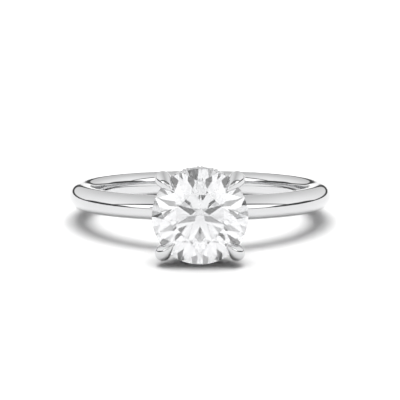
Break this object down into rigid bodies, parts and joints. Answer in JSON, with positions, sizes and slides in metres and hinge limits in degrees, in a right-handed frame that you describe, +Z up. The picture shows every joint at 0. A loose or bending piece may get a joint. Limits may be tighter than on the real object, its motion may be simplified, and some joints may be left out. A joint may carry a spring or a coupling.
{
  "type": "engagement ring",
  "caption": "Solitaire ring: a round brilliant held by talon claws above a hidden halo of small stones, on a plain shank of polished round wire.",
  "frame": {"origin": "on the surface that the ring lies on, under the middle of its bounding box", "axes": "+Z up; the ring lies on its side, so +Z is nearly along the finger; the stone faces -Y and is tilted up a little; +X is to the right of someone who looks at the stone"},
  "size_m": [0.0204, 0.0254, 0.0071],
  "materials": {
    "polished_metal": "mirror-polished white gold",
    "centre_diamond": "clear, faceted and polished",
    "small_diamond": "clear, faceted and polished"
  },
  "bodies": {
    "root": {"shank": "polished_metal", "head_base": "polished_metal", "halo_rail": "polished_metal", "claw_upper_right": "polished_metal", "claw_upper_left": "polished_metal", "claw_lower_left": "polished_metal", "claw_lower_right": "polished_metal", "centre_stone": "centre_diamond", "halo_stone_01": "small_diamond", "halo_stone_02": "small_diamond", "halo_stone_03": "small_diamond", "halo_stone_04": "small_diamond", "halo_stone_05": "small_diamond", "halo_stone_06": "small_diamond", "halo_stone_07": "small_diamond", "halo_stone_08": "small_diamond", "halo_stone_09": "small_diamond", "halo_stone_10": "small_diamond", "halo_stone_11": "small_diamond", "halo_stone_12": "small_diamond", "halo_stone_13": "small_diamond", "halo_stone_14": "small_diamond", "halo_stone_15": "small_diamond", "halo_stone_16": "small_diamond"}
  },
  "joints": []
}
